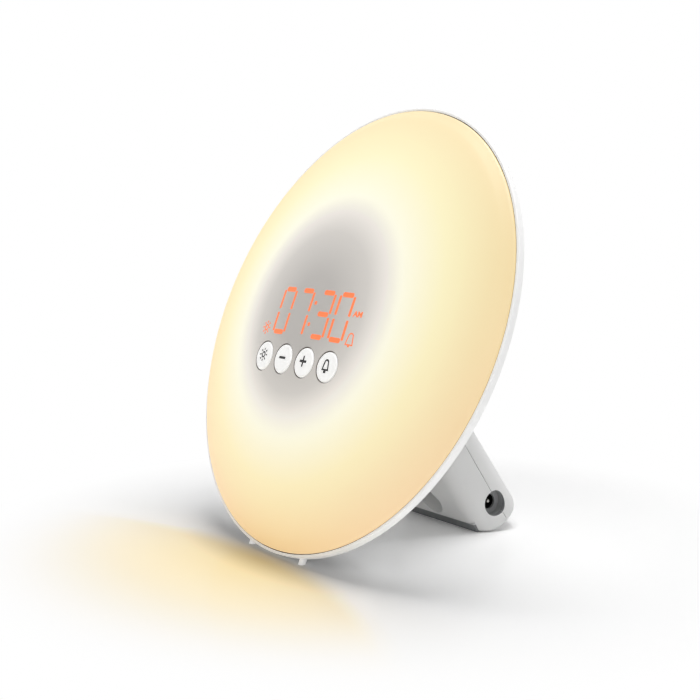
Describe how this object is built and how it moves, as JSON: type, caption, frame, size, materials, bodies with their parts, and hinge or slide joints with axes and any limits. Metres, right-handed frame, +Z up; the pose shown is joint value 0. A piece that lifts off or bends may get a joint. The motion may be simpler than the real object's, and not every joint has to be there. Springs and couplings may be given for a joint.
{
  "type": "sunrise alarm clock",
  "caption": "Sunrise alarm clock: a tilted round lamp with a milky dome, a digit display and push buttons in its face, on a hollow leg with the power socket.",
  "frame": {"origin": "on the table, under the middle of the whole object's box", "axes": "+X to the right across the lamp's face, -Y the front that the display looks towards, +Z up"},
  "size_m": [0.179, 0.1114, 0.1672],
  "materials": {
    "white_plastic": "moulded white ABS, fine satin",
    "diffuser": "milky polycarbonate, satin",
    "reflector": "white moulded plastic",
    "mask": "opaque grey moulded plastic",
    "button_plastic": "glossy moulded caps",
    "light_guide": "tinted clear acrylic",
    "module": "white moulded plastic",
    "board_white": "white solder mask",
    "board_green": "green solder mask",
    "diode": "phosphor in a white package",
    "screw_steel": "zinc-plated",
    "chip": "black epoxy",
    "capacitor": "printed can",
    "cell": "nickel-plated can",
    "holder": "black moulded plastic",
    "connector": "natural nylon",
    "ribbon": "flat cable",
    "switch_body": "black moulded plastic",
    "plunger": "black moulded plastic",
    "gasket": "closed-cell foam",
    "speaker_steel": "pressed and plated steel",
    "magnet": "sintered ferrite",
    "cone": "pressed paper",
    "foot_rubber": "dark grey rubber",
    "jack": "black moulded plastic",
    "contact_metal": "nickel-plated brass",
    "wire_red": "insulated with soft plastic",
    "wire_black": "insulated with soft plastic",
    "wire_white": "insulated with soft plastic"
  },
  "bodies": {
    "root": {"rear_housing": "white_plastic", "front_feet": "white_plastic", "leg_front_shell": "white_plastic", "leg_rear_shell": "white_plastic", "socket_cup": "white_plastic", "diffuser_dome": "diffuser", "light_reflector": "reflector", "light_board": "board_white", "light_diodes": "diode", "reflector_screws": "screw_steel", "main_board": "board_green", "main_board_screws": "screw_steel", "main_chip": "chip", "capacitors": "capacitor", "cell_holder": "holder", "backup_cell": "cell", "display_board": "board_green", "board_connectors": "connector", "ribbon_cable": "ribbon", "display_mask": "mask", "display_screws": "screw_steel", "display_module": "module", "display_digits": "light_guide", "push_switches": "switch_body", "speaker_gasket": "gasket", "speaker_frame": "speaker_steel", "speaker_magnet": "magnet", "speaker_cone": "cone", "leg_seam_screw": "screw_steel", "leg_mount_screws": "screw_steel", "leg_foot_pad": "foot_rubber", "power_jack": "jack", "jack_pin": "contact_metal", "jack_tabs": "contact_metal", "power_lead_positive": "wire_red", "power_lead_negative": "wire_black", "light_leads": "wire_white", "speaker_leads": "wire_white"},
    "light_key": {"button_light": "button_plastic", "plunger_light": "plunger"},
    "minus_key": {"button_minus": "button_plastic", "plunger_minus": "plunger"},
    "plus_key": {"button_plus": "button_plastic", "plunger_plus": "plunger"},
    "alarm_key": {"button_alarm": "button_plastic", "plunger_alarm": "plunger"}
  },
  "joints": [
    {"name": "light_press", "type": "slide", "parent": "root", "child": "light_key", "axis": [0, 0.9272, -0.3746], "range_m": [0, 0.0006], "stiffness_N_per_m": 1000, "springref_m": -0.0005},
    {"name": "minus_press", "type": "slide", "parent": "root", "child": "minus_key", "axis": [0, 0.9272, -0.3746], "range_m": [0, 0.0006], "stiffness_N_per_m": 1000, "springref_m": -0.0005},
    {"name": "plus_press", "type": "slide", "parent": "root", "child": "plus_key", "axis": [0, 0.9272, -0.3746], "range_m": [0, 0.0006], "stiffness_N_per_m": 1000, "springref_m": -0.0005},
    {"name": "alarm_press", "type": "slide", "parent": "root", "child": "alarm_key", "axis": [0, 0.9272, -0.3746], "range_m": [0, 0.0006], "stiffness_N_per_m": 1000, "springref_m": -0.0005}
  ]
}
